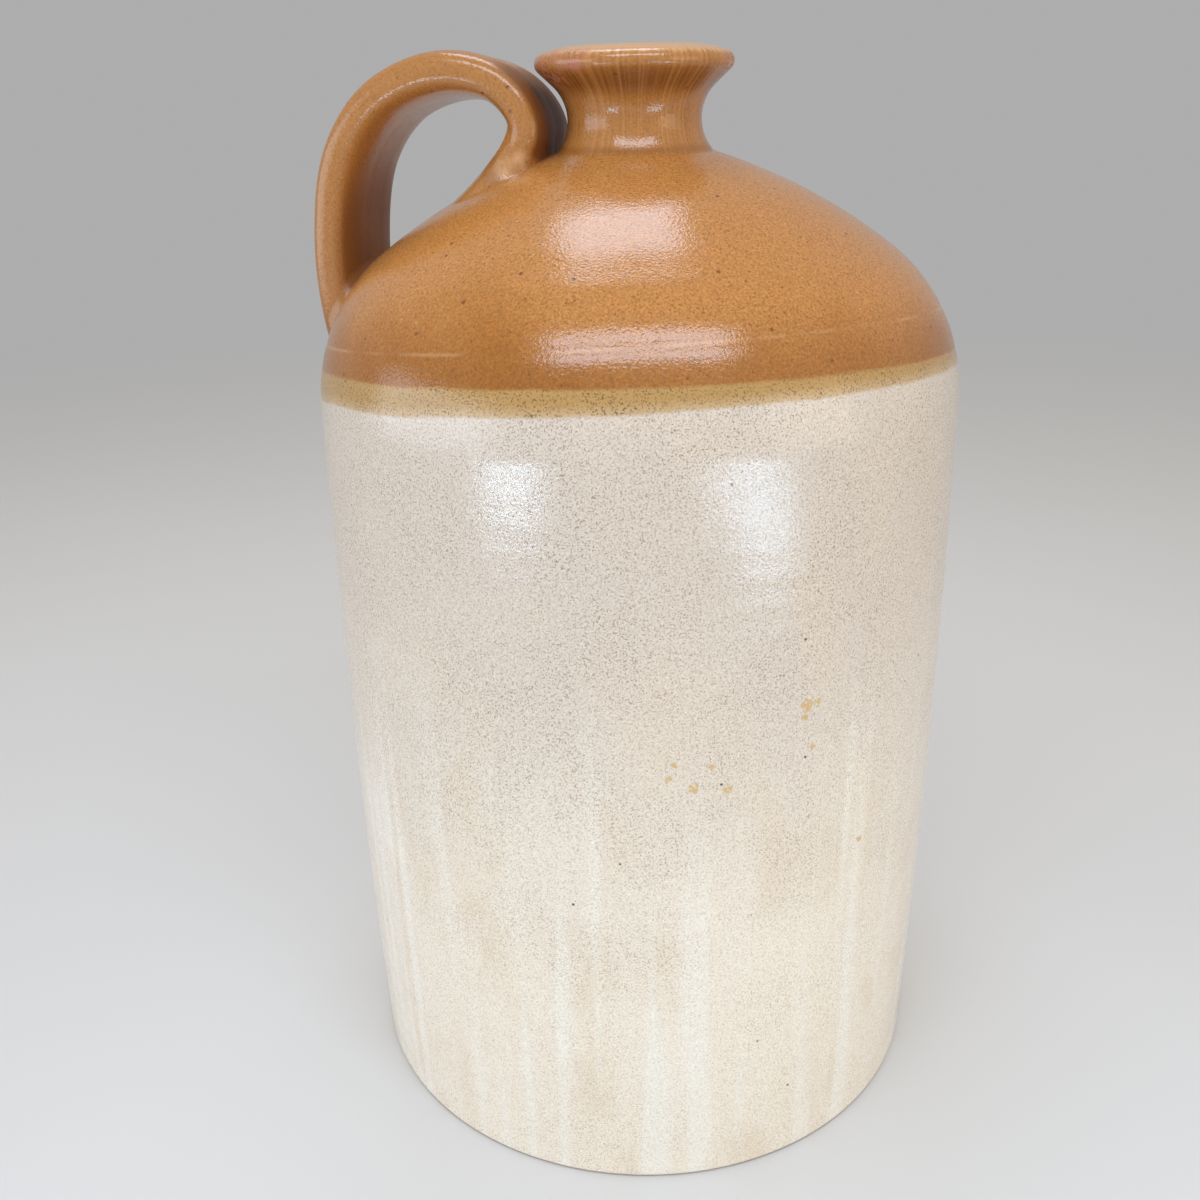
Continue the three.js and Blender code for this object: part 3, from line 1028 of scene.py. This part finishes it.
def strap_marks(s, tint):
    """The strap's colour with its pale crest and painted shade, and how dull it is there.

    Shade is painted under the loop and in the gap beside the neck, and the glaze is dull there.
    """
    side = s.math("ABSOLUTE", s.y)
    # the pale crest: partly wear, partly a painted highlight
    wear_and_highlight = s.times(s.smooth(side, *STRAP_CREST), 0.08)
    for x, y, z, reach in ROOT_WORN:
        wear_and_highlight = s.most(wear_and_highlight, s.times(s.near((x, y, z), reach, reach * 0.8), 0.7))
    tint = s.mix(s.times(wear_and_highlight, s.smooth(s.noise(6, 3), 0.2, 0.5)), tint, TAN_PALE)
    across = s.times(s.less(s.x, LOOP_MIDDLE[0] * MM), 1 / (LOOP_HALF[0] * MM))
    up = s.times(s.less(s.z, LOOP_MIDDLE[1] * MM), 1 / (LOOP_HALF[1] * MM))
    out = s.add(s.times(across, across), s.times(up, up))
    # painted shade under the loop, where the glaze is also dull
    under = s.times(s.smooth(out, 0.7, 0.9), s.smooth(out, 1.36, 1.0))
    # painted shade in the gap beside the neck
    gap = s.times(s.smooth(s.x, *GAP_REACH), s.smooth(out, 1.7, 1.88))
    face = s.smooth(side, *STRAP_FACE)
    under = s.times(under, s.span(face, 0.25, 0.75))
    painted_shade_and_dull = s.most(under, s.times(s.times(gap, face), 0.9))
    # the shade is painted in the darkest tan
    return s.mix(painted_shade_and_dull, tint, TAN_DEEP), painted_shade_and_dull


def glaze(name, grain=1.0, depth=1.0, marks=None):
    """The dipped glazes of the jar. grain and depth are the tan one's share of grain and of brightness;
    depth is painted shade.
    """
    s = Shader(name)
    waver = s.sway(s.noise(26, 2), DIP_SWAY)
    ripple = s.sway(s.noise(3.0, 2), DIP_RIPPLE)
    above_low = s.add(s.above(DIP_LOW), s.add(waver, ripple))
    shift = s.add(s.times(waver, HIGH_SWAY), s.times(ripple, HIGH_RIPPLE))
    above_high = s.add(s.above(DIP_HIGH), shift)
    dipped = s.smooth(above_low, -DIP_SOFT, DIP_SOFT)
    tan = s.smooth(above_high, -DIP_SOFT, DIP_SOFT)
    tint = s.mix(dipped, cream_colour(s), band_colour(s, above_low))
    tint = s.mix(tan, tint, tan_colour(s, above_high, grain, depth))
    rough = s.span(s.noise(3.5, 3), *GLAZE_ROUGH)
    if marks:
        tint, dull = marks(s, tint)
        rough = s.add(rough, s.times(dull, DULL_ROUGH))
    under = s.smooth(s.z, *BARE_FOOT)
    bare = s.shade(BISCUIT, s.noise(1.4, 4, roughness=0.7), 0.75, 1.15)
    tint = s.mix(under, tint, bare)
    rough = s.add(rough, s.times(under, DULL_ROUGH))
    s.feed(s.surface.inputs["Base Color"], tint)
    s.feed(s.surface.inputs["Roughness"], rough)
    s.surface.inputs["IOR"].default_value = GLAZE_IOR
    peel = s.add(s.noise(0.8, 1), s.times(s.noise(2.6, 2), 0.45))
    s.bump(peel, PEEL_STRENGTH, PEEL_DEPTH)
    return s.material


def cork_bark(name):
    s = Shader(name)
    bark = s.smooth(s.noise(2.5, 4, roughness=0.65), 0.35, 0.7)
    tint = s.mix(bark, CORK_DARK, CORK_LIGHT)
    tint = s.over(tint, CORK_PIT, s.specks(3.2, 1.1, 0.4), 0.8)
    tint = s.shade(tint, s.noise(0.6, 3), 0.8, 1.15)
    s.feed(s.surface.inputs["Base Color"], tint)
    s.feed(s.surface.inputs["Roughness"], s.span(s.noise(1.5, 2), 0.7, 0.9))
    s.bump(s.noise(0.8, 4, roughness=0.7), 0.5, 0.3)
    return s.material


jar_glaze = glaze("stoneware_glaze")
for piece in (body, shoulder):
    piece.data.materials.append(jar_glaze)
# the strap and the neck are darker copies of the glaze: painted shade
handle.data.materials.append(glaze("stoneware_strap_glaze", 0.65, 0.85, strap_marks))
neck.data.materials.append(glaze("stoneware_neck_glaze", 0.5, 0.88, neck_marks))
cork.data.materials.append(cork_bark("cork_bark"))


# Stage and light

FLOOR_RADIUS = 8.0
FLOOR_SIDES = 96
FLOOR_LEVEL = -0.0003
FLOOR_PALE = (0.745, 0.73, 0.71, 1)
FLOOR_ROUGH = 0.7
BACKDROP = (0.42, 0.42, 0.42, 1)
SKY_LEVEL = 0.61
SKY_TINT = (1.0, 0.965, 0.915, 1)
FADE_START = 0.45
FADE_END = 1.8
CLEAR = (0.71, 0.82, 1.0)
COOL = (0.78, 0.88, 1.0)
BLUE = (0.55, 0.78, 1.0)
WARM = (1.0, 0.85, 0.62)


def shown_rays(tree):
    """1 for rays that look at the background: from the camera, off gloss or through glass."""
    rays = tree.nodes.new("ShaderNodeLightPath")
    total = rays.outputs["Is Camera Ray"]
    for name in ("Is Glossy Ray", "Is Transmission Ray"):
        more = tree.nodes.new("ShaderNodeMath")
        more.operation = "MAXIMUM"
        tree.links.new(total, more.inputs[0])
        tree.links.new(rays.outputs[name], more.inputs[1])
        total = more.outputs[0]
    return total


def make_floor():
    """A pale disc that fades into the background far from the object."""
    mesh = bpy.data.meshes.new("floor")
    around = np.linspace(0, 2 * math.pi, FLOOR_SIDES, endpoint=False)
    ring = [(FLOOR_RADIUS * math.cos(a), FLOOR_RADIUS * math.sin(a), FLOOR_LEVEL) for a in around]
    mesh.from_pydata(ring, [], [list(range(len(ring)))])
    made = bpy.data.objects.new("floor", mesh)
    bpy.context.scene.collection.objects.link(made)
    s = Shader("floor")
    s.feed(s.surface.inputs["Base Color"], s.shade(FLOOR_PALE, s.noise(300, 2), 0.98, 1.02))
    s.surface.inputs["Roughness"].default_value = FLOOR_ROUGH
    distance = s.math("SQRT", s.add(s.times(s.x, s.x), s.times(s.y, s.y)))
    far = s.smooth(distance, FADE_START, FADE_END)
    glow = s.node("ShaderNodeEmission")
    glow.inputs["Color"].default_value = BACKDROP
    blend = s.node("ShaderNodeMixShader")
    s.feed(blend.inputs[0], s.times(far, shown_rays(s.tree)))
    s.feed(blend.inputs[1], s.surface.outputs["BSDF"])
    s.feed(blend.inputs[2], glow.outputs[0])
    output = next(n for n in s.tree.nodes if n.type == "OUTPUT_MATERIAL")
    s.feed(output.inputs["Surface"], blend.outputs[0])
    mesh.materials.append(s.material)


def make_world():
    world = bpy.data.worlds.new("studio")
    bpy.context.scene.world = world
    world.use_nodes = True
    tree = world.node_tree
    tree.nodes.clear()
    output = tree.nodes.new("ShaderNodeOutputWorld")
    light = tree.nodes.new("ShaderNodeBackground")
    light.inputs["Color"].default_value = SKY_TINT
    light.inputs["Strength"].default_value = SKY_LEVEL
    seen = tree.nodes.new("ShaderNodeBackground")
    seen.inputs["Color"].default_value = BACKDROP
    mix = tree.nodes.new("ShaderNodeMixShader")
    tree.links.new(shown_rays(tree), mix.inputs[0])
    tree.links.new(light.outputs[0], mix.inputs[1])
    tree.links.new(seen.outputs[0], mix.inputs[2])
    tree.links.new(mix.outputs[0], output.inputs["Surface"])


# Soft lamps: name, place and aim in millimetres, width and height in metres, power in watts, tint and shape
LAMPS = (
    ("ceiling_front", (121, -487, 928), (20, -90, 290), 0.80, 0.23, 3.6, CLEAR, "RECTANGLE"),
    ("ceiling_back", (-99, 238, 1055), (10, -60, 320), 0.36, 0.30, 1.65, CLEAR, "RECTANGLE"),
    ("spot_left", (-187, -401, 172), (-12, -111, 260), 0.17, 0.034, 0.17, BLUE, "ELLIPSE"),
    ("spot_right_high", (293, -338, 178), (50, -100, 264), 0.18, 0.024, 0.12, BLUE, "ELLIPSE"),
    ("spot_right_low", (341, -276, 144), (59, -95, 247), 0.15, 0.055, 0.13, BLUE, "ELLIPSE"),
    ("wall_left", (-1730, -970, 415), (-40, -60, 130), 1.80, 0.95, 10.5, COOL, "RECTANGLE"),
    ("wall_right", (1760, -610, 415), (50, -60, 130), 1.14, 0.95, 4.4, WARM, "RECTANGLE"),
)


def make_lamp(name, place, aim, width, height, power, tint, shape):
    data = bpy.data.lights.new(name, "AREA")
    data.shape = shape
    data.size, data.size_y = width, height
    data.energy = power
    data.color = tint
    made = bpy.data.objects.new(name, data)
    made.location = Vector(place) * MM
    made.rotation_mode = "QUATERNION"
    made.rotation_quaternion = (Vector(aim) - Vector(place)).to_track_quat("-Z", "Y")
    made.visible_camera = False
    bpy.context.scene.collection.objects.link(made)


make_floor()
make_world()
for row in LAMPS:
    make_lamp(*row)

bpy.context.scene.view_settings.view_transform = "Standard"
